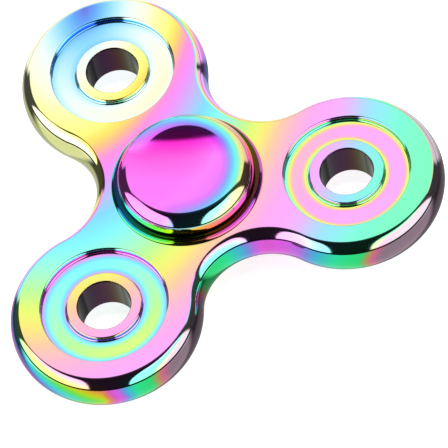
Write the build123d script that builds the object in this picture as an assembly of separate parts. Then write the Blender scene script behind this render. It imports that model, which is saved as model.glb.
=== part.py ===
from build123d import *
import math
import os

# A three-lobed fidget spinner, in millimetres. The origin is the middle of the centre bearing,
# +Z is the spin axis, and one lobe lies along +X. The finger caps and the bearing's inner ring
# are held still between two fingers, and the body turns round them with the outer ring.

# Body: one casting, three round lobes about a raised hub
LOBES = 3
LOBE_CENTRE = 24.0        # spin axis to the middle of a lobe
LOBE_R = 14.45            # outline of a lobe where it is widest
WAIST = 14.15             # spin axis to the wall midway between two lobes
BODY_THICK = 6.6
EDGE_WIDTH = 2.25         # the outline's edge is half an ellipse, this wide and as high as the body
HUB_R = 11.05
HUB_THICK = 8.0
HUB_ROUND = 0.1
HUB_ROOT = 0.58           # fillet where the hub rises from the body

# Lobes: a ring channel on each face round a collar with a through bore
BORE_R = 4.0
BORE_ROUND = 0.2
COLLAR_R = 5.65
COLLAR_THICK = 6.2        # the collar's ends lie a little below the body's faces
COLLAR_ROUND = 0.25
CHANNEL_R = 9.5
CHANNEL_DEPTH = 1.0       # at the middle of the channel's dished floor
CHANNEL_DISH = 0.12       # the floor's edges are this much higher than its middle
CHANNEL_LIP = 0.3         # rounding of the channel's outer rim
CHANNEL_FILLET = 0.35      # where the floor meets the walls

# Centre bearing: the common quarter-inch size, 6.35 x 12.7 x 4.762, with ten 1/16 inch balls
BEARING_BORE_R = 3.175
BEARING_R = 6.35
BEARING_WIDTH = 4.762
BALLS = 10
BALL_R = 0.794
PITCH_R = 4.7625
BALL_PLAY = 0.04          # between a ball and the floor of either groove
GROOVE_R = 0.86           # the grooves are slightly wider than the balls
INNER_LAND_R = 4.27
OUTER_LAND_R = 5.25
RING_ROUND = 0.2

# Cage: a crown that snaps over the balls from below
CAGE_INNER_R = 4.42
CAGE_OUTER_R = 5.10
CAGE_LOW = -1.30
CAGE_HIGH = 0.45
CAGE_ROUND = 0.08
POCKET_R = 0.87
CLAW_SLOT = 0.45
CLAW_SLOT_DEPTH = 0.55

# Shields, each a thin washer held in the outer ring by a snap ring
SHIELD_SEAT = 1.45        # height of the step that the shield lies on
SHIELD_SEAT_R = 5.60
SHIELD_THICK = 0.18
SHIELD_INNER_R = 4.42
SHIELD_OUTER_R = 5.58
SHIELD_LIP = 0.10
CLIP_GROOVE_R = 5.82
CLIP_THICK = 0.26
CLIP_INNER_R = 5.32
CLIP_OUTER_R = 5.78
CLIP_OPENING = 36.0       # degrees between the ends of the snap ring
CLIP_PLAY = 0.04

# The hub's bore: a counterbore at each face, the bearing's seat and a lip under the bearing
HUB_MOUTH_R = 7.6
HUB_MOUTH_FLOOR = 2.7
SEAT_LIP_R = 5.95

# Finger caps: a dished disc with a rounded rim, a shoulder on the inner ring and a stem in it
CAP_R = 10.35
CAP_GAP = 0.25            # between the hub's face and the cap
CAP_WIDEST = 4.65         # height where the cap is widest
CAP_CREST = 7.2
CREST_R = 7.75
CREST_ROUND = 3.0
DISH_R = 32.0             # radius of the dish that the fingertip rests in
CAP_UNDER_ROUND = 0.5
SHOULDER_R = 3.95
SHOULDER_FILLET = 0.5
STEM_R = 3.15
STEM_END = 0.10           # the stems stop short of the middle, so that the shoulders clamp
STUD_R = 1.93
STUD_END = 3.90
SOCKET_R = 2.0
SOCKET_END = 4.30
STEM_CHAMFER = 0.25

BODY_FACE = BODY_THICK / 2
HUB_FACE = HUB_THICK / 2
COLLAR_FACE = COLLAR_THICK / 2
BEARING_FACE = BEARING_WIDTH / 2
CAP_UNDER = HUB_FACE + CAP_GAP


def polar(radius, degrees):
    angle = math.radians(degrees)
    return (radius * math.cos(angle), radius * math.sin(angle))


def rounded_face(corners):
    """A closed outline from (x, y, rounding) corners."""
    face = make_face(Polyline(*[(x, y) for x, y, _ in corners], close=True))
    for x, y, rounding in corners:
        if rounding:
            face = fillet(face.vertices().sort_by_distance((x, y))[0], rounding)
    return face


def turned(face):
    """The solid that a (radius, height) outline sweeps about the spin axis."""
    return revolve(Plane.XZ * face, Axis.Z)


def mirrored(corners):
    """The corners of an outline below the middle plane, mirrored to make its upper half."""
    return corners + [(x, -y, rounding) for x, y, rounding in reversed(corners)]


def lobe_angles():
    return [360 / LOBES * lobe for lobe in range(LOBES)]


def waist_centre():
    """The middle of the concave arc between two lobes, and that arc's radius."""
    half = 180 / LOBES
    excess = LOBE_R - WAIST
    reach = (LOBE_CENTRE**2 - excess**2) / (2 * (excess + LOBE_CENTRE * math.cos(math.radians(half))))
    return Vector(*polar(reach, half)), reach - WAIST


def lobe_sector():
    """One lobe with its rounded edge, from one neighbouring waist round the tip to the other."""
    flat_r = LOBE_R - EDGE_WIDTH
    edges = [
        Polyline((flat_r, -BODY_FACE), (0, -BODY_FACE), (0, BODY_FACE), (flat_r, BODY_FACE)),
        EllipticalCenterArc(
            (flat_r, 0), EDGE_WIDTH, BODY_FACE, start_angle=-90, arc_size=180
        ),
    ]
    towards_waist = waist_centre()[0] - Vector(LOBE_CENTRE, 0)
    spread = math.degrees(math.atan2(towards_waist.Y, towards_waist.X))
    start = Plane.XZ.rotated((0, 0, -spread))
    return Pos(LOBE_CENTRE, 0) * revolve(start * make_face(edges), Axis.Z, 2 * spread)


def waist_cutter():
    """What the waist takes out of the middle plate, about the waist arc's own axis."""
    centre, waist_r = waist_centre()
    flat_r = waist_r + EDGE_WIDTH
    beyond = BODY_FACE + EDGE_WIDTH
    edges = [
        Polyline(
            (flat_r, -BODY_FACE),
            (flat_r, -beyond),
            (0, -beyond),
            (0, beyond),
            (flat_r, beyond),
            (flat_r, BODY_FACE),
        ),
        EllipticalCenterArc((flat_r, 0), EDGE_WIDTH, BODY_FACE, start_angle=90, arc_size=180),
    ]
    return Pos(*centre) * turned(make_face(edges))


def slab():
    """The lobes and the middle plate between their centres and the waists."""
    half = 180 / LOBES
    corners = []
    for angle in lobe_angles():
        corners.append(polar(LOBE_CENTRE, angle))
        corners.append(polar(waist_centre()[0].length, angle + half))
    plate = extrude(Pos(0, 0, -BODY_FACE) * make_face(Polyline(*corners, close=True)), BODY_THICK)
    for angle in lobe_angles():
        plate -= Rot(0, 0, angle) * waist_cutter()
    for angle in lobe_angles():
        plate += Rot(0, 0, angle) * lobe_sector()
    return plate


def channel_cutter():
    """What a channel takes out of the upper face about its lobe's middle, down to the collar."""
    floor = BODY_FACE - CHANNEL_DEPTH
    edge = floor + CHANNEL_DISH
    top = BODY_FACE + CHANNEL_DEPTH
    walls = Polyline(
        (CHANNEL_R, edge),
        (CHANNEL_R, top),
        (BORE_R - BORE_ROUND, top),
        (BORE_R - BORE_ROUND, COLLAR_FACE),
        (COLLAR_R, COLLAR_FACE),
        (COLLAR_R, edge),
    )
    middle = (COLLAR_R + CHANNEL_R) / 2
    face = make_face([walls, ThreePointArc((COLLAR_R, edge), (middle, floor), (CHANNEL_R, edge))])
    for x, y, rounding in (
        (COLLAR_R, COLLAR_FACE, COLLAR_ROUND),
        (COLLAR_R, edge, CHANNEL_FILLET),
        (CHANNEL_R, edge, CHANNEL_FILLET),
    ):
        face = fillet(face.vertices().sort_by_distance((x, y))[0], rounding)
    return turned(face)


def hub_bore():
    """The hub's bore with the bearing's seat; the bearing goes in from above, onto the lip."""
    beyond = HUB_FACE + HUB_ROUND
    corners = [
        (0, -beyond, 0),
        (HUB_MOUTH_R, -beyond, 0),
        (HUB_MOUTH_R, -HUB_MOUTH_FLOOR, 0),
        (SEAT_LIP_R, -HUB_MOUTH_FLOOR, 0),
        (SEAT_LIP_R, -BEARING_FACE, 0),
        (BEARING_R, -BEARING_FACE, 0),
        (BEARING_R, HUB_MOUTH_FLOOR, 0),
        (HUB_MOUTH_R, HUB_MOUTH_FLOOR, 0),
        (HUB_MOUTH_R, beyond, 0),
        (0, beyond, 0),
    ]
    return turned(rounded_face(corners))


def circles_at(shape, radius, height):
    """The round edges of that radius at that height above and below the middle plane."""
    return [
        edge
        for edge in shape.edges().filter_by(GeomType.CIRCLE)
        if abs(edge.radius - radius) < 1e-4 and abs(abs(edge.center().Z) - height) < 1e-4
    ]


def spinner_body():
    body = slab() + Cylinder(HUB_R, HUB_THICK)
    body = fillet(circles_at(body, HUB_R, BODY_FACE), HUB_ROOT)
    body = fillet(circles_at(body, HUB_R, HUB_FACE), HUB_ROUND)
    body -= hub_bore()
    upper = channel_cutter()
    for angle in lobe_angles():
        place = Pos(*polar(LOBE_CENTRE, angle))
        body -= place * upper
        body -= place * Rot(180, 0, 0) * upper
        body -= place * Cylinder(BORE_R, 2 * BODY_THICK)
    body = fillet(circles_at(body, CHANNEL_R, BODY_FACE), CHANNEL_LIP)
    return fillet(circles_at(body, BORE_R, COLLAR_FACE), BORE_ROUND)


def groove(bottom_r):
    """The cutter for a ball groove whose floor is at that radius, inside or outside the pitch."""
    centre = bottom_r + math.copysign(GROOVE_R, PITCH_R - bottom_r)
    return Torus(centre, GROOVE_R)


def bearing_outer_ring():
    step = BEARING_FACE - SHIELD_SEAT - SHIELD_THICK - CLIP_THICK - CLIP_PLAY
    corners = mirrored([
        (OUTER_LAND_R, -SHIELD_SEAT, 0),
        (SHIELD_SEAT_R, -SHIELD_SEAT, 0),
        (SHIELD_SEAT_R, -SHIELD_SEAT - SHIELD_THICK, 0),
        (CLIP_GROOVE_R, -SHIELD_SEAT - SHIELD_THICK, 0),
        (CLIP_GROOVE_R, -BEARING_FACE + step, 0),
        (SHIELD_SEAT_R, -BEARING_FACE + step, 0),
        (SHIELD_SEAT_R, -BEARING_FACE, 0),
        (BEARING_R, -BEARING_FACE, RING_ROUND),
    ])
    return turned(rounded_face(corners)) - groove(PITCH_R + BALL_R + BALL_PLAY)


def bearing_inner_ring():
    corners = mirrored([
        (BEARING_BORE_R, -BEARING_FACE, RING_ROUND),
        (INNER_LAND_R, -BEARING_FACE, RING_ROUND),
    ])
    return turned(rounded_face(corners)) - groove(PITCH_R - BALL_R - BALL_PLAY)


def ball_angles():
    return [360 / BALLS * ball for ball in range(BALLS)]


def bearing_ball(angle):
    return Pos(*polar(PITCH_R, angle)) * Sphere(BALL_R)


def bearing_cage():
    corners = [
        (CAGE_INNER_R, CAGE_LOW, CAGE_ROUND),
        (CAGE_OUTER_R, CAGE_LOW, CAGE_ROUND),
        (CAGE_OUTER_R, CAGE_HIGH, CAGE_ROUND),
        (CAGE_INNER_R, CAGE_HIGH, CAGE_ROUND),
    ]
    cage = turned(rounded_face(corners))
    claw_slot = Box(2 * BALL_R, CLAW_SLOT, 2 * CLAW_SLOT_DEPTH)
    for angle in ball_angles():
        cage -= Pos(*polar(PITCH_R, angle)) * Sphere(POCKET_R)
        between = angle + 180 / BALLS
        cage -= Pos(*polar(PITCH_R, between), CAGE_HIGH) * Rot(0, 0, between) * claw_slot
    return cage


def bearing_shield():
    """The upper shield, a washer with a lip turned down beside the inner ring."""
    top = SHIELD_SEAT + SHIELD_THICK
    corners = [
        (SHIELD_INNER_R, SHIELD_SEAT - SHIELD_LIP, 0),
        (SHIELD_INNER_R + SHIELD_THICK, SHIELD_SEAT - SHIELD_LIP, 0),
        (SHIELD_INNER_R + SHIELD_THICK, SHIELD_SEAT, 0),
        (SHIELD_OUTER_R, SHIELD_SEAT, 0),
        (SHIELD_OUTER_R, top, 0),
        (SHIELD_INNER_R, top, SHIELD_LIP),
    ]
    return turned(rounded_face(corners))


def shield_clip():
    """The upper snap ring, open at one side."""
    low = SHIELD_SEAT + SHIELD_THICK
    corners = [
        (CLIP_INNER_R, low, 0),
        (CLIP_OUTER_R, low, 0),
        (CLIP_OUTER_R, low + CLIP_THICK, 0),
        (CLIP_INNER_R, low + CLIP_THICK, 0),
    ]
    start = Plane.XZ.rotated((0, 0, CLIP_OPENING / 2))
    return revolve(start * rounded_face(corners), Axis.Z, 360 - CLIP_OPENING)


def quarter_ellipse(centre, width, height, start):
    return EllipticalCenterArc(centre, width, height, start_angle=start, arc_size=90)


def cap_disc():
    """The upper cap's disc and shoulder: a dish, a crest, a rounded rim and a flat underside."""
    crest_centre = CAP_CREST - CREST_ROUND
    dish_centre = crest_centre + math.sqrt((DISH_R + CREST_ROUND) ** 2 - CREST_R**2)
    share = CREST_ROUND / (DISH_R + CREST_ROUND)
    lean = math.degrees(math.asin(CREST_R / (DISH_R + CREST_ROUND)))
    meeting = (CREST_R * (1 - share), crest_centre + (dish_centre - crest_centre) * share)
    rim_width = CAP_R - CREST_R
    under_edge = CAP_R - CAP_UNDER_ROUND
    edges = [
        CenterArc((0, dish_centre), DISH_R, -90, lean),
        CenterArc((CREST_R, crest_centre), CREST_ROUND, 90, lean),
        quarter_ellipse((CREST_R, CAP_WIDEST), rim_width, CAP_CREST - CAP_WIDEST, 0),
        quarter_ellipse((under_edge, CAP_WIDEST), CAP_UNDER_ROUND, CAP_WIDEST - CAP_UNDER, -90),
        Polyline(
            (under_edge, CAP_UNDER),
            (SHOULDER_R, CAP_UNDER),
            (SHOULDER_R, BEARING_FACE),
            (0, BEARING_FACE),
            (0, dish_centre - DISH_R),
        ),
    ]
    face = make_face(edges)
    root = face.vertices().sort_by_distance((SHOULDER_R, CAP_UNDER))[0]
    return turned(fillet(root, SHOULDER_FILLET))


def rod(radius, low, high):
    """A round bar on the spin axis with a chamfered lower end."""
    corners = [
        (0, low),
        (radius - STEM_CHAMFER, low),
        (radius, low + STEM_CHAMFER),
        (radius, high),
        (0, high),
    ]
    return turned(make_face(Polyline(*corners, close=True)))


def finger_cap_top():
    """The cap with the threaded socket in its stem."""
    overlap = BEARING_FACE + STEM_CHAMFER
    cap = cap_disc() + rod(STEM_R, STEM_END, overlap)
    socket_length = SOCKET_END - STEM_END
    return cap - Pos(0, 0, STEM_END + socket_length / 2) * Cylinder(SOCKET_R, socket_length)


def finger_cap_bottom():
    """The cap with the threaded stud, modelled facing up and then turned over."""
    overlap = BEARING_FACE + STEM_CHAMFER
    cap = cap_disc() + rod(STEM_R, STEM_END, overlap) + rod(STUD_R, -STUD_END, overlap)
    return Rot(180, 0, 0) * cap


def turned_over(shape):
    return Rot(180, 0, 0) * shape


def all_parts():
    """Every sub-part by the name of its node."""
    parts = {
        "spinner_body": spinner_body(),
        "finger_cap_top": finger_cap_top(),
        "finger_cap_bottom": finger_cap_bottom(),
        "bearing_outer_ring": bearing_outer_ring(),
        "bearing_inner_ring": bearing_inner_ring(),
        "bearing_cage": bearing_cage(),
        "bearing_shield_top": bearing_shield(),
        "bearing_shield_bottom": turned_over(bearing_shield()),
        "shield_clip_top": shield_clip(),
        "shield_clip_bottom": turned_over(shield_clip()),
    }
    for number, angle in enumerate(ball_angles(), start=1):
        parts[f"bearing_ball_{number:02d}"] = bearing_ball(angle)
    return parts


os.makedirs("parts", exist_ok=True)
for node, shape in all_parts().items():
    export_step(shape, f"parts/{node}.step")
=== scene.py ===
import math

import bpy
from mathutils import Matrix, Vector, geometry


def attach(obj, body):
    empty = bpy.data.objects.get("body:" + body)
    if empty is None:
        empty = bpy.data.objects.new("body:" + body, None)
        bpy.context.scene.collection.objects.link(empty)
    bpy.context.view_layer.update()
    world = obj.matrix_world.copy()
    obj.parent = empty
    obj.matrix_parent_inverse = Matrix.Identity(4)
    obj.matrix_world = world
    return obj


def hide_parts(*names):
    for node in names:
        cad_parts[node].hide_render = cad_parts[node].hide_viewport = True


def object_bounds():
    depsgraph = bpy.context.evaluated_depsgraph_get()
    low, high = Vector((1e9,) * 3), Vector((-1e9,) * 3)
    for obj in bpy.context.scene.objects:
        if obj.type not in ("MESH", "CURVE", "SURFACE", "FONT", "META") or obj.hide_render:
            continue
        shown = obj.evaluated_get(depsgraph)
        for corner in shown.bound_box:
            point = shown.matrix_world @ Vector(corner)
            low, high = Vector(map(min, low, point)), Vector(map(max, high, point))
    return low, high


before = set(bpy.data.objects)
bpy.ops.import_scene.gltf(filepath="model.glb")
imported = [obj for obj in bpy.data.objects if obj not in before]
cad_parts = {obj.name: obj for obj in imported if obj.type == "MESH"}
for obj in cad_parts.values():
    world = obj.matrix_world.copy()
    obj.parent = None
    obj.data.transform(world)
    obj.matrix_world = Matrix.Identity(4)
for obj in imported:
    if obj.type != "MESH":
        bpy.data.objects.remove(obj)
cad_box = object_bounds()

# Sizes in millimetres, the same as the model's own; MM turns them into metres.
MM = 0.001
LOBES = 3
LOBE_CENTRE = 24.0
LOBE_R = 14.45
WAIST = 14.15
BODY_FACE = 3.3
EDGE_WIDTH = 2.25
HUB_R = 11.05
HUB_FACE = 4.0
HUB_ROUND = 0.1
HUB_ROOT = 0.58
BORE_R = 4.0
BORE_ROUND = 0.2
COLLAR_R = 5.65
COLLAR_FACE = 3.1
COLLAR_ROUND = 0.25
CHANNEL_R = 9.5
CHANNEL_DEPTH = 1.0
CHANNEL_DISH = 0.12
CHANNEL_LIP = 0.3
CHANNEL_FILLET = 0.35
BEARING_R = 6.35
BEARING_FACE = 2.381
HUB_MOUTH_R = 7.6
HUB_MOUTH_FLOOR = 2.7
SEAT_LIP_R = 5.95
CAP_R = 10.35
CAP_UNDER = 4.25
CAP_WIDEST = 4.65
CAP_CREST = 7.2
CREST_R = 7.75
CREST_ROUND = 3.0
DISH_R = 32.0
CAP_UNDER_ROUND = 0.5
SHOULDER_R = 3.95
SHOULDER_FILLET = 0.5
STEM_R = 3.15
STEM_END = 0.10
STUD_R = 1.93
STUD_END = 3.90
SOCKET_R = 2.0
SOCKET_END = 4.30
STEM_CHAMFER = 0.25

# How finely curves are divided
ARC_STEP = math.radians(7.5)
LOBE_ARC_PARTS = 114
WAIST_ARC_PARTS = 34
LATHE_PARTS = 144
DISH_PARTS = 16
FLOOR_PARTS = 8
MERGE_GRID = 1e-8


# ---------------------------------------------------------------- outlines with exact normals

def polar(radius, angle):
    return Vector((radius * math.cos(angle), radius * math.sin(angle)))


def right_of(direction):
    """The unit normal on the right of a direction of travel."""
    return Vector((direction.y, -direction.x)).normalized()


def arc_run(centre, radii, start, end, outward=1, parts=0):
    """(point, normal) pairs along an arc of an ellipse, normals away from its centre or towards it."""
    parts = parts or max(2, math.ceil(abs(end - start) / ARC_STEP))
    run = []
    for i in range(parts + 1):
        angle = start + (end - start) * i / parts
        around = Vector((math.cos(angle), math.sin(angle)))
        point = Vector(centre) + Vector((radii[0] * around.x, radii[1] * around.y))
        normal = Vector((around.x / radii[0], around.y / radii[1])).normalized()
        run.append((point, normal * outward))
    return run


def rounded_runs(corners):
    """Smooth runs of (point, normal) along lines whose (x, y, rounding) corners are rounded.
    The solid is on the left of the direction of travel. A sharp corner starts a new run."""
    points = [Vector(c[:2]) for c in corners]
    runs = [[]]
    leave = points[0]
    for i in range(1, len(points)):
        along = (points[i] - points[i - 1]).normalized()
        normal = right_of(along)
        rounding = corners[i][2] if i < len(points) - 1 else 0
        if not rounding:
            runs[-1] += [(leave, normal), (points[i], normal)]
            runs.append([])
            leave = points[i]
            continue
        onward = (points[i + 1] - points[i]).normalized()
        turn = math.atan2(along.cross(onward), along.dot(onward))
        setback = rounding * math.tan(abs(turn) / 2)
        enter = points[i] - along * setback
        if (enter - leave).length > 1e-6:
            runs[-1] += [(leave, normal), (enter, normal)]
        side = math.copysign(1, turn)
        centre = enter - normal * rounding * side
        first = math.atan2(normal.y, normal.x)
        parts = max(2, math.ceil(abs(turn) / ARC_STEP))
        for k in range(parts + 1):
            angle = first + turn * k / parts
            spoke = Vector((math.cos(angle), math.sin(angle)))
            runs[-1].append((centre + spoke * rounding * side, spoke))
        leave = points[i] + onward * setback
    return [run for run in runs if run]


def body_outline():
    """(point, normal) pairs round the body: lobe arcs joined by tangent concave waist arcs."""
    half = math.pi / LOBES
    excess = LOBE_R - WAIST
    reach = (LOBE_CENTRE**2 - excess**2) / (2 * (excess + LOBE_CENTRE * math.cos(half)))
    waist_r = reach - WAIST
    lobe = Vector((LOBE_CENTRE, 0))
    hollow = polar(reach, half)
    sweep = math.atan2(hollow.y, hollow.x - LOBE_CENTRE)
    hollow_start = math.pi + sweep
    hollow_sweep = 2 * (half - sweep)
    outline = []
    for n in range(LOBES):
        turn = Matrix.Rotation(2 * half * n, 2)
        for i in range(LOBE_ARC_PARTS):
            spoke = polar(1, -sweep + 2 * sweep * i / LOBE_ARC_PARTS)
            outline.append((turn @ (lobe + spoke * LOBE_R), turn @ spoke))
        for i in range(WAIST_ARC_PARTS):
            spoke = polar(1, hollow_start + hollow_sweep * i / WAIST_ARC_PARTS)
            outline.append((turn @ (hollow + spoke * waist_r), turn @ -spoke))
    return outline


# ---------------------------------------------------------------- meshes with exact normals

class Shell:
    """Collects faces with a normal at every corner, then makes one closed mesh of them."""

    def __init__(self):
        self.faces = []

    def face(self, corners):
        """corners are (point, normal) pairs in millimetres; the winding is made to suit them."""
        kept = [c for i, c in enumerate(corners) if (c[0] - corners[i - 1][0]).length > 1e-6]
        if len(kept) < 3:
            return
        facing = geometry.normal([point for point, _ in kept])
        if facing.dot(sum((normal for _, normal in kept), Vector((0, 0, 0)))) < 0:
            kept.reverse()
        self.faces.append(kept)

    def grid(self, rows):
        """Quads between neighbouring rows; each row closes on itself."""
        for low, high in zip(rows, rows[1:]):
            for i in range(len(low)):
                self.face([low[i - 1], low[i], high[i], high[i - 1]])

    def lathe(self, runs, centre=(0, 0), parts=LATHE_PARTS):
        """Turns (radius, height) runs about an upright axis through centre."""
        spokes = [polar(1, 2 * math.pi * i / parts) for i in range(parts)]
        for run in runs:
            rows = []
            for point, normal in run:
                rows.append([
                    (
                        Vector((centre[0] + s.x * point.x, centre[1] + s.y * point.x, point.y)),
                        Vector((s.x * normal.x, s.y * normal.x, normal.y)),
                    )
                    for s in spokes
                ])
            self.grid(rows)

    def sweep(self, runs, outline):
        """Carries (offset, height) runs round a flat outline, offset along its normals."""
        for run in runs:
            rows = []
            for point, normal in run:
                rows.append([
                    (
                        Vector((p.x + n.x * point.x, p.y + n.y * point.x, point.y)),
                        Vector((n.x * normal.x, n.y * normal.x, normal.y)),
                    )
                    for p, n in outline
                ])
            self.grid(rows)

    def flat(self, loops, height, facing):
        """A flat face at a height, bounded by an outer loop and holes."""
        up = Vector((0, 0, facing))
        flat_loops = [[Vector((p.x, p.y, height)) for p in loop] for loop in loops]
        points = [p for loop in flat_loops for p in loop]
        for triangle in geometry.tessellate_polygon(flat_loops):
            self.face([(points[i], up) for i in triangle])

    def finish(self, name):
        """A new object, with shared corners merged and the exact normals kept."""
        index, points, polygons, normals = {}, [], [], []
        for corners in self.faces:
            polygon = []
            for point, normal in corners:
                place = point * MM
                key = tuple(round(x / MERGE_GRID) for x in place)
                if key not in index:
                    index[key] = len(points)
                    points.append(place)
                polygon.append(index[key])
                normals.append(normal.normalized())
            polygons.append(polygon)
        mesh = bpy.data.meshes.new(name)
        mesh.from_pydata(points, [], polygons)
        mesh.polygons.foreach_set("use_smooth", [True] * len(polygons))
        mesh.normals_split_custom_set(normals)
        piece = bpy.data.objects.new(name, mesh)
        bpy.context.scene.collection.objects.link(piece)
        return piece


def circle(radius, centre=(0, 0), parts=LATHE_PARTS):
    return [Vector(centre) + polar(radius, 2 * math.pi * i / parts) for i in range(parts)]


def upside_down(runs):
    """The runs mirrored to the underside, still with the solid on their left."""
    return [
        [(Vector((p.x, -p.y)), Vector((n.x, -n.y))) for p, n in reversed(run)]
        for run in reversed(runs)
    ]


# ---------------------------------------------------------------- pieces

def channel_runs():
    """A channel from its outer rim across the dished floor and over the collar into the bore."""
    middle = (COLLAR_R + CHANNEL_R) / 2
    half = (CHANNEL_R - COLLAR_R) / 2
    floor_r = (half**2 + CHANNEL_DISH**2) / (2 * CHANNEL_DISH)
    floor_centre = BODY_FACE - CHANNEL_DEPTH + floor_r
    reach = floor_r - CHANNEL_FILLET
    aside = half - CHANNEL_FILLET
    foot = floor_centre - math.sqrt(reach**2 - aside**2)
    lean = math.acos(aside / reach)
    fillet = (CHANNEL_FILLET, CHANNEL_FILLET)
    outer_wall = rounded_runs([
        (CHANNEL_R + CHANNEL_LIP, BODY_FACE, 0),
        (CHANNEL_R, BODY_FACE, CHANNEL_LIP),
        (CHANNEL_R, foot, 0),
    ])
    dish = (floor_r, floor_r)
    far = lean - math.pi
    floor = arc_run((middle + aside, foot), fillet, 0, -lean, outward=-1)
    floor += arc_run((middle, floor_centre), dish, -lean, far, outward=-1, parts=FLOOR_PARTS)[1:]
    floor += arc_run((middle - aside, foot), fillet, far, -math.pi, outward=-1)[1:]
    collar = rounded_runs([
        (COLLAR_R, foot, 0),
        (COLLAR_R, COLLAR_FACE, COLLAR_ROUND),
        (BORE_R, COLLAR_FACE, BORE_ROUND),
        (BORE_R, 0, 0),
    ])
    return [*outer_wall, floor, *collar]


def make_body():
    """The casting: rounded outline, raised hub, channels, collars, bores and bearing seat."""
    shell = Shell()
    outline = body_outline()
    half_turn = math.pi / 2
    edge = arc_run((-EDGE_WIDTH, 0), (EDGE_WIDTH, BODY_FACE), -half_turn, half_turn)
    shell.sweep([edge], outline)

    hub = rounded_runs([
        (HUB_R + HUB_ROOT, BODY_FACE, 0),
        (HUB_R, BODY_FACE, HUB_ROOT),
        (HUB_R, HUB_FACE, HUB_ROUND),
        (HUB_MOUTH_R, HUB_FACE, 0),
        (HUB_MOUTH_R, HUB_MOUTH_FLOOR, 0),
        (BEARING_R, HUB_MOUTH_FLOOR, 0),
        (BEARING_R, -BEARING_FACE, 0),
        (SEAT_LIP_R, -BEARING_FACE, 0),
        (SEAT_LIP_R, -HUB_MOUTH_FLOOR, 0),
        (HUB_MOUTH_R, -HUB_MOUTH_FLOOR, 0),
        (HUB_MOUTH_R, -HUB_FACE, 0),
        (HUB_R, -HUB_FACE, HUB_ROUND),
        (HUB_R, -BODY_FACE, HUB_ROOT),
        (HUB_R + HUB_ROOT, -BODY_FACE, 0),
    ])
    shell.lathe(hub)

    channel = channel_runs()
    lips = []
    for n in range(LOBES):
        centre = polar(LOBE_CENTRE, 2 * math.pi * n / LOBES)
        shell.lathe(channel, centre)
        shell.lathe(upside_down(channel), centre)
        lips.append(circle(CHANNEL_R + CHANNEL_LIP, centre))

    rim = [p - n * EDGE_WIDTH for p, n in outline]
    for side in (1, -1):
        shell.flat([rim, circle(HUB_R + HUB_ROOT), *lips], side * BODY_FACE, side)
    return shell.finish("body_casting")


def cap_runs():
    """The upper cap's disc from the middle of its dish to the foot of its shoulder."""
    crest_centre = CAP_CREST - CREST_ROUND
    reach = DISH_R + CREST_ROUND
    dish_centre = crest_centre + math.sqrt(reach**2 - CREST_R**2)
    lean = math.asin(CREST_R / reach)
    up = math.pi / 2
    under_edge = CAP_R - CAP_UNDER_ROUND
    rim = (CAP_R - CREST_R, CAP_CREST - CAP_WIDEST)
    under = (CAP_UNDER_ROUND, CAP_WIDEST - CAP_UNDER)
    top = arc_run((under_edge, CAP_WIDEST), under, -up, 0)
    top += arc_run((CREST_R, CAP_WIDEST), rim, 0, up)[1:]
    top += arc_run((CREST_R, crest_centre), (CREST_ROUND, CREST_ROUND), up, up + lean)[1:]
    dish = arc_run((0, dish_centre), (DISH_R, DISH_R), lean - up, -up, outward=-1, parts=DISH_PARTS)
    return top + dish[1:]


def make_cap(name, side, lower):
    """A finger cap; side is 1 for the upper one and -1 for the lower, lower is the run of its stem."""
    shell = Shell()
    under = rounded_runs([
        *lower,
        (SHOULDER_R, BEARING_FACE, 0),
        (SHOULDER_R, CAP_UNDER, SHOULDER_FILLET),
        (CAP_R - CAP_UNDER_ROUND, CAP_UNDER, 0),
    ])
    runs = [*under, cap_runs()]
    if side < 0:
        runs = upside_down(runs)
    shell.lathe(runs)
    return shell.finish(name)


SOCKET_STEM = [
    (0, SOCKET_END, 0),
    (SOCKET_R, SOCKET_END, 0),
    (SOCKET_R, STEM_END, 0),
    (STEM_R - STEM_CHAMFER, STEM_END, 0),
    (STEM_R, STEM_END + STEM_CHAMFER, 0),
    (STEM_R, BEARING_FACE, 0),
]
STUD_STEM = [
    (0, -STUD_END, 0),
    (STUD_R - STEM_CHAMFER, -STUD_END, 0),
    (STUD_R, -STUD_END + STEM_CHAMFER, 0),
    (STUD_R, STEM_END, 0),
    (STEM_R - STEM_CHAMFER, STEM_END, 0),
    (STEM_R, STEM_END + STEM_CHAMFER, 0),
    (STEM_R, BEARING_FACE, 0),
]


# ---------------------------------------------------------------- material nodes

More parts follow.
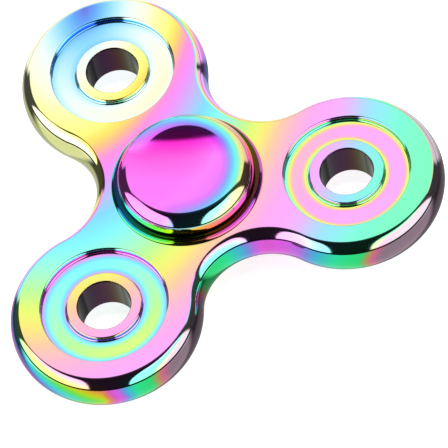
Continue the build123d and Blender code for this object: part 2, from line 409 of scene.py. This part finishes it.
class Nodes:
    """Short names for building a material's nodes."""

    def __init__(self, tree):
        self.tree = tree

    def add(self, kind, **settings):
        node = self.tree.nodes.new(kind)
        for name, value in settings.items():
            setattr(node, name, value)
        return node

    def link(self, source, target):
        if isinstance(source, (int, float, tuple)):
            target.default_value = source
        else:
            self.tree.links.new(source, target)

    def math(self, operation, *values):
        node = self.add("ShaderNodeMath", operation=operation)
        for value, socket in zip(values, node.inputs):
            self.link(value, socket)
        return node.outputs[0]

    def smooth(self, value, low, high, to_low=0.0, to_high=1.0):
        """value mapped smoothly from low..high to to_low..to_high, and held beyond."""
        node = self.add("ShaderNodeMapRange", interpolation_type="SMOOTHSTEP")
        for entry, socket in zip((value, low, high, to_low, to_high), node.inputs):
            self.link(entry, socket)
        return node.outputs[0]

    def blend(self, share, first, second):
        """first where share is 0 and second where it is 1, for plain numbers."""
        return self.math("MULTIPLY_ADD", self.math("SUBTRACT", second, first), share, first)

    def power(self, colour, exponent):
        """A colour deepened, or made paler by an exponent under 1."""
        node = self.add("ShaderNodeGamma")
        self.link(colour, node.inputs[0])
        self.link(exponent, node.inputs[1])
        return node.outputs[0]

    def parts_of(self, vector):
        node = self.add("ShaderNodeSeparateXYZ")
        self.link(vector, node.inputs[0])
        return node.outputs

    def mix(self, factor, first, second, blend="MIX"):
        node = self.add("ShaderNodeMix", data_type="RGBA", blend_type=blend)
        colours = [s for s in node.inputs if s.type == "RGBA"]
        self.link(factor, node.inputs[0])
        self.link(first, colours[0])
        self.link(second, colours[1])
        return next(s for s in node.outputs if s.type == "RGBA")

    def ramp(self, factor, stops):
        """A colour ramp with (position, colour) stops."""
        node = self.add("ShaderNodeValToRGB")
        elements = node.color_ramp.elements
        while len(elements) < len(stops):
            elements.new(0.5)
        for element, (position, colour) in zip(elements, stops):
            element.position = position
            element.color = colour
        self.link(factor, node.inputs[0])
        return node.outputs[0]


def srgb(red, green, blue):
    """A colour from 0 to 255 as seen on screen, as linear light."""
    def linear(value):
        share = value / 255
        return share / 12.92 if share <= 0.04045 else ((share + 0.055) / 1.055) ** 2.4
    return (linear(red), linear(green), linear(blue), 1.0)


def new_material(name):
    """An empty node material and its Principled shader."""
    material = bpy.data.materials.new(name)
    material.use_nodes = True
    nodes = Nodes(material.node_tree)
    material.node_tree.nodes.clear()
    output = nodes.add("ShaderNodeOutputMaterial")
    shader = nodes.add("ShaderNodeBsdfPrincipled")
    nodes.link(shader.outputs[0], output.inputs["Surface"])
    return material, nodes, shader


# The film's colours in the order that they follow each other, by its phase in millimetres:
# the distance over the face from the place where the film is thinnest.
# Most of these stops, and THIN_SPOT, FILM_SQUEEZE and FILM_SKEW below, are rounded from what a
# separate sampling and fitting program printed. They weren't chosen by hand.
FILM = (
    (0, (110, 120, 225)),
    (3, (104, 170, 250)),
    (6, (140, 215, 251)),
    (9, (195, 242, 253)),
    (12, (240, 254, 246)),
    (16, (250, 254, 226)),
    (19, (250, 252, 175)),
    (23, (253, 250, 134)),
    (25, (253, 229, 106)),
    (27, (253, 190, 145)),
    (29, (252, 150, 220)),
    (31, (248, 146, 246)),
    (33.5, (220, 165, 254)),
    (39, (133, 219, 253)),
    (42.5, (133, 246, 251)),
    (46, (160, 253, 220)),
    (50, (188, 254, 158)),
    (53, (228, 252, 119)),
    (56, (250, 234, 125)),
    (59, (253, 205, 165)),
    (62, (253, 187, 208)),
    (66, (248, 172, 240)),
    (70, (252, 172, 253)),
    (74, (230, 185, 252)),
    (77, (190, 208, 251)),
    (80, (155, 228, 250)),
    (88, (127, 253, 215)),
    (93, (132, 252, 200)),
    (102, (130, 250, 192)),
    (108, (225, 215, 170)),
    (113, (245, 180, 205)),
    (120, (205, 190, 200)),
)
FILM_END = 120.0
THIN_SPOT = (-16.6, 32.4)     # where the film is thinnest, in the body's own frame
FILM_SQUEEZE = 1.673          # the film changes this much faster across the body than along it
FILM_SKEW = -0.215            # and slantwise by this much

# Below, four numbers in brackets are from, to, the value as far as from, and the value beyond to.

# A channel floor's phase is a share of the face's, a share of its lobe's middle and a constant,
# up to a limit. It is less near the channel's walls, by the distance from them.
FLOOR_OWN = 0.55
FLOOR_COMMON = 0.36
FLOOR_BASE = -2.5
FLOOR_MOST = 71.0
WALL_THINNING = (-0.4, 1.5, 0.63, 1.0)
CHANNEL_START = (3.12, 2.7, 0.0, 1.0)     # by height

# A collar's top is further on than the face, by Y, but not on the lobe along +X, by X.
COLLAR_PHASE = (10.0, -10.0, 3.0, 5.5)
COLLAR_SHARE = (0.0, 16.0, 1.0, 0.0)
COLLAR_BLUR = 0.3

# Round the outer edge the phase grows where it faces +X, by Y, and falls where it faces the other
# way. It also changes along X, as slope and middle, the more the steeper the edge is.
EDGE_THICKER = (-17.0, -24.0, 50.0, 85.0)
EDGE_THINNER = 8.0
EDGE_SHIFT = (0.7, -9.0)
EDGE_LEAST = 17.0
EDGE_FROM = CHANNEL_R + 1.0               # the edge and the hub are further than this from a lobe's axis

# Where a surface counts as rounded, steep or rising to the hub, by how far it faces up
ROUNDED = (0.97, 0.80, 0.0, 1.0)
STEEP = (0.62, 0.45, 0.0, 1.0)
RISING = (0.995, 0.95, 0.0, 1.0)

# Steep surfaces have deeper colours: the film's to this power, then times a tint that is painted shade.
DEEPENING = 2.2
# The next tint darkens the steep sides, channel walls and hub root: painted shade.
STEEP_PAINTED_SHADE = (0.75, 0.75, 0.75, 1.0)
# The next tint is painted shade: the bores' walls are darkened as shaded hollows.
BORE_PAINTED_SHADE = (0.045, 0.045, 0.045, 1.0)
# The next tint is painted shade: the hub's top under the cap is darkened nearly to black.
HUB_PAINTED_SHADE = (0.10, 0.10, 0.10, 1.0)
# More painted shade: a bore is darker still where it faces +X.
BORE_FACING_PAINTED_SHADE = (0.1, 0.9, 1.0, 0.25)        # a bore is darker still where it faces +X
# The hub's painted shade begins at this height.
HUB_SHADE_START = BODY_FACE + 0.7 * HUB_ROOT

# Phase by the way a surface faces along X, as slope and middle
BORE_FILM = (15.0, 62.0)
ROOT_FILM = (24.0, 55.0)
CAP_RIM_FILM = (12.0, 55.0)

# The cap film's colours from the middle of the dish to the rim's outermost line
CAP_FILM = (
    (0.00, (254, 60, 200)),
    (0.04, (254, 108, 230)),
    (0.08, (253, 132, 252)),
    (0.16, (222, 126, 254)),
    (0.28, (155, 158, 252)),
    (0.38, (118, 200, 251)),
    (0.47, (120, 236, 250)),
    (0.58, (140, 242, 195)),
    (0.70, (225, 240, 150)),
    (0.80, (243, 212, 140)),
    (0.90, (244, 140, 170)),
    (1.00, (238, 85, 195)),
)
# How far along them the film has come by each radius in millimetres, on its thicker side
CAP_GROWTH = (
    (0, 0.0), (3, 0.02), (5.5, 0.06), (6.3, 0.13), (7, 0.27),
    (8, 0.47), (9, 0.75), (9.8, 0.92), (10.35, 1.0),
)
CAP_THICK_SIDE = math.radians(22)
# How much of that there is, by the cosine of the angle from the thicker side
CAP_SHARE = ((-1.0, 0.0), (-0.75, 0.03), (-0.4, 0.38), (0.0, 0.55), (0.4, 0.70), (1.0, 1.0))
CAP_LIFT = (5.5, -3.0, 0.0, 0.07)         # and more of it away from +Y, by Y
# In the dish the colours are redder towards +Y, by Y and by radius
DISH_TINT = (1.0, 0.18, 0.85, 1.0)
DISH_TINT_Y = (1.5, 5.2)
DISH_TINT_RADIUS = (8.2, 6.2)
# Where the rim faces -Y its colours are paler, to this power
CAP_PALING = 0.8
CAP_FRONT = (-0.15, -0.4)
CAP_STEEP = (0.48, 0.36)                  # and its steep side has the body's film

# The polish: roughness by the noise's value, and the noise's scale per metre and detail
POLISH = (0.3, 0.7, 0.035, 0.075)
POLISH_SCALE = 90.0
POLISH_DETAIL = 4.0

# The turning marks on the bearing's steel
MARKS_SCALE = 2500.0
MARKS_DISTORTION = 1.5
MARKS_DETAIL = 3.0
MARKS_SHADE = 0.93            # how dark the marks are
MARKS_ROUGHNESS = (0.8, 1.25) # roughness in and between them, times the steel's own
MARKS_STRENGTH = 0.15
MARKS_DEPTH = 0.000004


def film_colour(nodes, phase):
    """The body's film colour at a phase."""
    stops = [(place / FILM_END, srgb(*colour)) for place, colour in FILM]
    return nodes.ramp(nodes.math("DIVIDE", phase, FILM_END), stops)


def body_phase(nodes, x, y):
    """The film's phase over the body's face, from x and y in millimetres."""
    dx = nodes.math("SUBTRACT", x, THIN_SPOT[0])
    dy = nodes.math("SUBTRACT", y, THIN_SPOT[1])
    across = nodes.math("POWER", nodes.math("MULTIPLY", dx, FILM_SQUEEZE), 2.0)
    along = nodes.math("MULTIPLY", dy, dy)
    skew = nodes.math("MULTIPLY", nodes.math("MULTIPLY", dx, dy), 2 * FILM_SKEW)
    return nodes.math("SQRT", nodes.math("ADD", nodes.math("ADD", across, along), skew))


def phase_at(x, y):
    """The same phase as a plain number."""
    dx, dy = x - THIN_SPOT[0], y - THIN_SPOT[1]
    return math.sqrt((dx * FILM_SQUEEZE) ** 2 + dy**2 + 2 * FILM_SKEW * dx * dy)


def nearest_lobe(nodes, coordinates):
    """Millimetres from the axis of the nearest lobe, and the film's phase at that lobe's middle."""
    level = nodes.add("ShaderNodeVectorMath", operation="MULTIPLY")
    nodes.link(coordinates.outputs["Object"], level.inputs[0])
    nodes.link((1 / MM, 1 / MM, 0.0), level.inputs[1])
    nearest, phase = 1000.0, 0.0
    for n in range(LOBES):
        centre = polar(LOBE_CENTRE, 2 * math.pi * n / LOBES)
        apart = nodes.add("ShaderNodeVectorMath", operation="DISTANCE")
        nodes.link(level.outputs[0], apart.inputs[0])
        nodes.link((centre.x, centre.y, 0.0), apart.inputs[1])
        gap = apart.outputs["Value"]
        nearest = nodes.math("MINIMUM", gap, nearest)
        inside = nodes.math("LESS_THAN", gap, LOBE_R)
        phase = nodes.math("MULTIPLY_ADD", inside, phase_at(centre.x, centre.y), phase)
    return nearest, phase


def channel_phase(nodes, phase, lobe, lobe_phase):
    """The phase in a channel, thinner and more even than on the face, and least along its walls."""
    to_wall = nodes.math(
        "MINIMUM", nodes.math("SUBTRACT", CHANNEL_R, lobe), nodes.math("SUBTRACT", lobe, COLLAR_R)
    )
    common = nodes.math("MULTIPLY_ADD", lobe_phase, FLOOR_COMMON, FLOOR_BASE)
    floor_phase = nodes.math("MULTIPLY_ADD", phase, FLOOR_OWN, common)
    limited = nodes.math("MINIMUM", floor_phase, FLOOR_MOST)
    return nodes.math("MULTIPLY", limited, nodes.smooth(to_wall, *WALL_THINNING))


def edge_phase(nodes, phase, x, y, facing, upright):
    """The phase round the outer edge, from where it is and how it faces along X and Z."""
    thicker = nodes.smooth(y, *EDGE_THICKER)
    away = nodes.math("MULTIPLY", nodes.math("MAXIMUM", facing, 0.0), thicker)
    towards = nodes.math("MULTIPLY", nodes.math("MINIMUM", facing, 0.0), EDGE_THINNER)
    shift = nodes.math("MULTIPLY_ADD", x, *EDGE_SHIFT)
    along = nodes.math("MULTIPLY", shift, nodes.math("SUBTRACT", 1.0, upright))
    turned = nodes.math("ADD", nodes.math("ADD", away, towards), along)
    return nodes.math("MAXIMUM", nodes.math("ADD", phase, turned), EDGE_LEAST)


def plated_body():
    """Mirror-polished zinc under an iridescent film coloured by place and slope, with painted shade on
    steep sides, bores and hub top.
    """
    material, nodes, shader = new_material("rainbow_plating")
    coordinates = nodes.add("ShaderNodeTexCoord")
    place = nodes.parts_of(coordinates.outputs["Object"])
    x, y = (nodes.math("DIVIDE", place[axis], MM) for axis in "XY")
    height = nodes.math("DIVIDE", nodes.math("ABSOLUTE", place["Z"]), MM)
    slope = nodes.parts_of(coordinates.outputs["Normal"])
    facing = slope["X"]
    upright = nodes.math("ABSOLUTE", slope["Z"])
    lobe, lobe_phase = nearest_lobe(nodes, coordinates)

    steep = nodes.smooth(upright, *STEEP)
    outside = nodes.math("GREATER_THAN", lobe, EDGE_FROM)
    in_edge = nodes.math("MULTIPLY", steep, outside)
    in_round = nodes.math("MULTIPLY", nodes.smooth(upright, *ROUNDED), outside)
    in_lip = nodes.math("LESS_THAN", lobe, CHANNEL_R + CHANNEL_LIP)
    in_channel = nodes.math("MULTIPLY", nodes.smooth(height, *CHANNEL_START), in_lip)
    on_wall = nodes.math("MULTIPLY", steep, in_channel)
    on_collar = nodes.smooth(lobe, COLLAR_R + COLLAR_BLUR, COLLAR_R)
    above_face = nodes.math("GREATER_THAN", height, BODY_FACE)
    on_root = nodes.math("MULTIPLY", nodes.smooth(upright, *RISING), above_face)
    hub_shade_share = nodes.smooth(height, HUB_SHADE_START, HUB_FACE - HUB_ROUND)
    in_bore = nodes.math("LESS_THAN", lobe, BORE_R + BORE_ROUND / 2)

    face_phase = body_phase(nodes, x, y)
    sunk = channel_phase(nodes, face_phase, lobe, lobe_phase)
    side = edge_phase(nodes, face_phase, x, y, facing, upright)
    root = nodes.math("MULTIPLY_ADD", facing, *ROOT_FILM)
    further = nodes.math(
        "MULTIPLY", nodes.smooth(x, *COLLAR_SHARE), nodes.smooth(y, *COLLAR_PHASE)
    )
    phase = nodes.math("MAXIMUM", nodes.math("MULTIPLY_ADD", on_collar, further, face_phase), 0.0)
    phase = nodes.blend(in_channel, phase, sunk)
    phase = nodes.blend(in_round, phase, side)
    phase = nodes.blend(on_root, phase, root)

    colour = film_colour(nodes, nodes.math("MAXIMUM", phase, 0.0))
    deep = nodes.power(colour, DEEPENING)
    # Steep surfaces get the deeper film colour, darkened further by painted shade.
    deepened_and_shaded = nodes.math("MAXIMUM", nodes.math("MAXIMUM", in_edge, on_wall), on_root)
    colour = nodes.mix(deepened_and_shaded, colour, nodes.mix(1.0, deep, STEEP_PAINTED_SHADE, "MULTIPLY"))
    # A bore's colour is darkened nearly to black: painted shade in the hollow, more where it faces +X.
    bore = nodes.power(film_colour(nodes, nodes.math("MULTIPLY_ADD", facing, *BORE_FILM)), DEEPENING)
    bore = nodes.mix(1.0, bore, BORE_PAINTED_SHADE, "MULTIPLY")
    bore = nodes.mix(1.0, bore, nodes.smooth(facing, *BORE_FACING_PAINTED_SHADE), "MULTIPLY")
    colour = nodes.mix(in_bore, colour, bore)
    # Painted shade: the hub's top, under the cap, is darkened nearly to black.
    colour = nodes.mix(hub_shade_share, colour, nodes.mix(1.0, deep, HUB_PAINTED_SHADE, "MULTIPLY"))
    nodes.link(colour, shader.inputs["Base Color"])
    shader.inputs["Metallic"].default_value = 1.0
    add_polish(nodes, shader)
    return material


def add_polish(nodes, shader):
    """Faint unevenness of a polished casting: some patches are a little rougher than others."""
    coordinates = nodes.add("ShaderNodeTexCoord")
    patches = nodes.add("ShaderNodeTexNoise")
    nodes.link(coordinates.outputs["Object"], patches.inputs["Vector"])
    patches.inputs["Scale"].default_value = POLISH_SCALE
    patches.inputs["Detail"].default_value = POLISH_DETAIL
    nodes.link(nodes.smooth(patches.outputs[0], *POLISH), shader.inputs["Roughness"])


def plated_cap():
    """The caps' film: magenta in the dish, turning through blue and green on one side's rim."""
    material, nodes, shader = new_material("cap_plating")
    coordinates = nodes.add("ShaderNodeTexCoord")
    place = nodes.parts_of(coordinates.outputs["Object"])
    x, y = (nodes.math("DIVIDE", place[axis], MM) for axis in "XY")
    radius = nodes.math("SQRT", nodes.math("MULTIPLY_ADD", x, x, nodes.math("MULTIPLY", y, y)))
    slope = nodes.parts_of(coordinates.outputs["Normal"])

    def grey_ramp(factor, stops):
        return nodes.ramp(factor, [(at, (share, share, share, 1.0)) for at, share in stops])

    thick_x, thick_y = polar(1, CAP_THICK_SIDE)
    towards = nodes.math("MULTIPLY_ADD", x, thick_x, nodes.math("MULTIPLY", y, thick_y))
    alignment = nodes.math("DIVIDE", towards, nodes.math("MAXIMUM", radius, 0.1))
    amount = grey_ramp(
        nodes.math("MULTIPLY_ADD", alignment, 0.5, 0.5),
        [((cosine + 1) / 2, share) for cosine, share in CAP_SHARE],
    )
    growth = grey_ramp(
        nodes.math("DIVIDE", radius, CAP_R), [(reach / CAP_R, share) for reach, share in CAP_GROWTH]
    )
    phase = nodes.math("MULTIPLY_ADD", amount, growth, nodes.smooth(y, *CAP_LIFT))
    colour = nodes.ramp(phase, [(share, srgb(*tone)) for share, tone in CAP_FILM])

    redder = nodes.math(
        "MULTIPLY", nodes.smooth(y, *DISH_TINT_Y), nodes.smooth(radius, *DISH_TINT_RADIUS)
    )
    colour = nodes.mix(redder, colour, DISH_TINT, "MULTIPLY")
    in_front = nodes.smooth(slope["Y"], *CAP_FRONT)
    colour = nodes.mix(in_front, colour, nodes.power(colour, CAP_PALING))
    rim = film_colour(nodes, nodes.math("MULTIPLY_ADD", slope["X"], *CAP_RIM_FILM))
    steep = nodes.smooth(nodes.math("ABSOLUTE", slope["Z"]), *CAP_STEEP)
    colour = nodes.mix(steep, colour, nodes.power(rim, DEEPENING))
    nodes.link(colour, shader.inputs["Base Color"])
    shader.inputs["Metallic"].default_value = 1.0
    add_polish(nodes, shader)
    return material


def steel(name, colour, roughness):
    """Bearing steel with fine turning marks round the axis."""
    material, nodes, shader = new_material(name)
    coordinates = nodes.add("ShaderNodeTexCoord")
    marks = nodes.add("ShaderNodeTexWave", wave_type="RINGS", rings_direction="Z")
    nodes.link(coordinates.outputs["Object"], marks.inputs["Vector"])
    marks.inputs["Scale"].default_value = MARKS_SCALE
    marks.inputs["Distortion"].default_value = MARKS_DISTORTION
    marks.inputs["Detail"].default_value = MARKS_DETAIL
    amount = marks.outputs[1]
    smoother, rougher = (roughness * share for share in MARKS_ROUGHNESS)
    nodes.link(nodes.smooth(amount, 0.0, 1.0, smoother, rougher), shader.inputs["Roughness"])
    tint = nodes.mix(amount, srgb(*[c * MARKS_SHADE for c in colour]), srgb(*colour))
    nodes.link(tint, shader.inputs["Base Color"])
    shader.inputs["Metallic"].default_value = 1.0
    bump = nodes.add("ShaderNodeBump")
    bump.inputs["Strength"].default_value = MARKS_STRENGTH
    bump.inputs["Distance"].default_value = MARKS_DEPTH
    nodes.link(amount, bump.inputs["Height"])
    nodes.link(bump.outputs[0], shader.inputs["Normal"])
    return material


def paint(piece, material):
    piece.data.materials.clear()
    piece.data.materials.append(material)


# ---------------------------------------------------------------- studio

CAMERA_TARGET = (5.24, -6.07, 0.0)        # millimetres, and so is the distance
CAMERA_DISTANCE = 578.9
CAMERA_AZIMUTH = 13.13                    # degrees
CAMERA_ELEVATION = 57.64
CAMERA_ROLL = 14.48
CAMERA_LENS = 311.3

# The surroundings that the metal mirrors, by the unit direction (x, y, z) towards them.
# Two numbers in brackets are where a light begins and where it is full.
PANEL_LOW = (0.235, 0.285)                # the panel lies past this y,
PANEL_SIDES = (0.62, 0.70)                # but not past this x to either side
PANEL_CORNERS = (0.63, 0.53)              # below this y
BOX_LIGHT = 1.6                           # brightness of the softboxes
BOX_FLOOR = (0.10, 0.14)
BOX_LEAN_FROM = 0.3                       # their inner sides lean outwards, from y = -0.3 up
LEFT_BOX = (-0.33, -0.38)
LEFT_BOX_LEAN = 0.35
LEFT_BOX_TOP = (0.21, 0.15)
RIGHT_BOX = (0.27, 0.32)
RIGHT_BOX_LEAN = 0.4
RIGHT_BOX_TOP = (0.12, 0.05)
HORIZON_ABOVE = (0.0, 0.03)
HORIZON_BELOW = (-0.02, -0.05)
# The table's brightness in front, at the left, at the right and behind, and where each lies
TABLE_FRONT = 1.0
TABLE_LEFT = 0.55
TABLE_RIGHT = 0.25
TABLE_BACK = 0.95
FRONT_Y = (0.15, -0.10)
LEFT_X = (0.1, -0.1)
LEFT_Z = (-0.35, -0.6)
RIGHT_X = (-0.1, 0.1)
RIGHT_Z = (-0.2, -0.6)
BACK_Y = (0.58, 0.66)
GLOOM = (0.0, 0.2, 0.012, 0.06)           # the dark room's own light, by y

FLOOR_HALF = 1.5                          # metres
FLOOR_COLOUR = (0.5, 0.5, 0.5, 1.0)
FLOOR_ROUGHNESS = 0.35
FLOOR_GLOW = 0.75
LAMP_SIZE = 0.9
LAMP_POWER = 22
LAMP_PLACE = (0.1, 0.15, 1.2)
WHITE = (1.0, 1.0, 1.0, 1.0)


def make_camera():
    """A long lens looking down on the face, with the picture turned a little."""
    azimuth, elevation = math.radians(CAMERA_AZIMUTH), math.radians(CAMERA_ELEVATION)
    back = Vector((
        math.sin(azimuth) * math.cos(elevation),
        -math.cos(azimuth) * math.cos(elevation),
        math.sin(elevation),
    ))
    data = bpy.data.cameras.new("camera")
    data.lens = CAMERA_LENS
    data.clip_start = 0.01
    data.clip_end = 20
    camera = bpy.data.objects.new("camera", data)
    bpy.context.scene.collection.objects.link(camera)
    camera.rotation_mode = "QUATERNION"
    level = (-back).to_track_quat("-Z", "Y")
    turn = Matrix.Rotation(math.radians(-CAMERA_ROLL), 4, "Z").to_quaternion()
    camera.rotation_quaternion = level @ turn
    camera.location = (Vector(CAMERA_TARGET) + back * CAMERA_DISTANCE) * MM
    bpy.context.scene.camera = camera


def make_world():
    """A white panel overhead and behind, a softbox at each side in front, and dark between them."""
    world = bpy.data.worlds.new("light_tent")
    bpy.context.scene.world = world
    world.use_nodes = True
    world.node_tree.nodes.clear()
    nodes = Nodes(world.node_tree)
    coordinates = nodes.add("ShaderNodeTexCoord")
    x, y, z = nodes.parts_of(coordinates.outputs["Generated"])
    above = nodes.smooth(z, *BOX_FLOOR)
    spread = nodes.math("MAXIMUM", nodes.math("ADD", y, BOX_LEAN_FROM), 0.0)

    def all_of(*shares):
        product = shares[0]
        for share in shares[1:]:
            product = nodes.math("MULTIPLY", product, share)
        return product

    def box(lean, edge, top):
        """A softbox outside its slanting inner edge, below its top and above the horizon."""
        inner = nodes.math("MULTIPLY_ADD", spread, lean, x)
        return all_of(nodes.smooth(inner, *edge), nodes.smooth(y, *top), above, BOX_LIGHT)

    aside = nodes.math("ABSOLUTE", x)
    corners = all_of(nodes.smooth(aside, *PANEL_SIDES), nodes.smooth(y, *PANEL_CORNERS))
    panel = all_of(nodes.smooth(y, *PANEL_LOW), nodes.smooth(corners, 1.0, 0.0))
    left_box = box(LEFT_BOX_LEAN, LEFT_BOX, LEFT_BOX_TOP)
    right_box = box(-RIGHT_BOX_LEAN, RIGHT_BOX, RIGHT_BOX_TOP)
    lights = nodes.math("MAXIMUM", panel, nodes.math("MAXIMUM", left_box, right_box))
    upper = all_of(lights, nodes.smooth(z, *HORIZON_ABOVE))

    front = all_of(nodes.smooth(y, *FRONT_Y), TABLE_FRONT)
    left = all_of(nodes.smooth(x, *LEFT_X), nodes.smooth(z, *LEFT_Z), TABLE_LEFT)
    right = all_of(nodes.smooth(x, *RIGHT_X), nodes.smooth(z, *RIGHT_Z), TABLE_RIGHT)
    back = all_of(nodes.smooth(y, *BACK_Y), TABLE_BACK)
    flanks = nodes.math("MAXIMUM", nodes.math("ADD", left, right), back)
    lower = all_of(nodes.smooth(z, *HORIZON_BELOW), nodes.math("MAXIMUM", front, flanks))

    strength = nodes.math("ADD", nodes.math("MAXIMUM", upper, lower), nodes.smooth(y, *GLOOM))
    background = nodes.add("ShaderNodeBackground")
    background.inputs["Color"].default_value = WHITE
    nodes.link(strength, background.inputs["Strength"])
    output = nodes.add("ShaderNodeOutputWorld")
    nodes.link(background.outputs[0], output.inputs["Surface"])


def make_floor():
    """A plain pale light table under the lower cap; the metal mirrors the world's own instead."""
    floor_height = cad_box[0].z
    half = FLOOR_HALF
    mesh = bpy.data.meshes.new("floor")
    corners = [(-half, -half), (half, -half), (half, half), (-half, half)]
    mesh.from_pydata([(x, y, floor_height) for x, y in corners], [], [(0, 1, 2, 3)])
    floor = bpy.data.objects.new("floor", mesh)
    bpy.context.scene.collection.objects.link(floor)
    material, nodes, shader = new_material("pale_floor")
    shader.inputs["Base Color"].default_value = FLOOR_COLOUR
    shader.inputs["Roughness"].default_value = FLOOR_ROUGHNESS
    shader.inputs["Emission Color"].default_value = WHITE
    shader.inputs["Emission Strength"].default_value = FLOOR_GLOW
    paint(floor, material)
    floor.visible_glossy = False


def make_lamp():
    """A large soft lamp overhead that lights the floor and isn't seen in the polished metal."""
    data = bpy.data.lights.new("overhead", "AREA")
    data.shape = "DISK"
    data.size = LAMP_SIZE
    data.energy = LAMP_POWER
    lamp = bpy.data.objects.new("overhead", data)
    bpy.context.scene.collection.objects.link(lamp)
    lamp.location = LAMP_PLACE
    lamp.rotation_mode = "QUATERNION"
    lamp.rotation_quaternion = (-lamp.location).to_track_quat("-Z", "Y")
    lamp.visible_glossy = False


# ---------------------------------------------------------------- the scene, put together

make_camera()
make_world()
make_floor()
make_lamp()
bpy.context.scene.view_settings.view_transform = "Standard"

body = make_body()
paint(body, plated_body())
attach(body, "rotor")
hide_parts("spinner_body")

cap_material = plated_cap()
for name, side, stem, node in (
    ("upper_cap", 1, SOCKET_STEM, "finger_cap_top"),
    ("lower_cap", -1, STUD_STEM, "finger_cap_bottom"),
):
    cap = make_cap(name, side, stem)
    paint(cap, cap_material)
    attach(cap, "fingers_side")
    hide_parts(node)

ring_steel = steel("ring_steel", (205, 207, 210), 0.18)
ball_steel = steel("ball_steel", (225, 226, 230), 0.06)
cage_steel = steel("cage_steel", (176, 170, 158), 0.35)
shield_steel = steel("shield_steel", (190, 192, 196), 0.28)
spring_steel = steel("spring_steel", (110, 112, 118), 0.3)
steels = {
    "bearing_outer_ring": ring_steel,
    "bearing_inner_ring": ring_steel,
    "bearing_ball": ball_steel,
    "bearing_cage": cage_steel,
    "bearing_shield": shield_steel,
    "shield_clip": spring_steel,
}
for name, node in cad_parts.items():
    for start, material in steels.items():
        if name.startswith(start):
            paint(node, material)
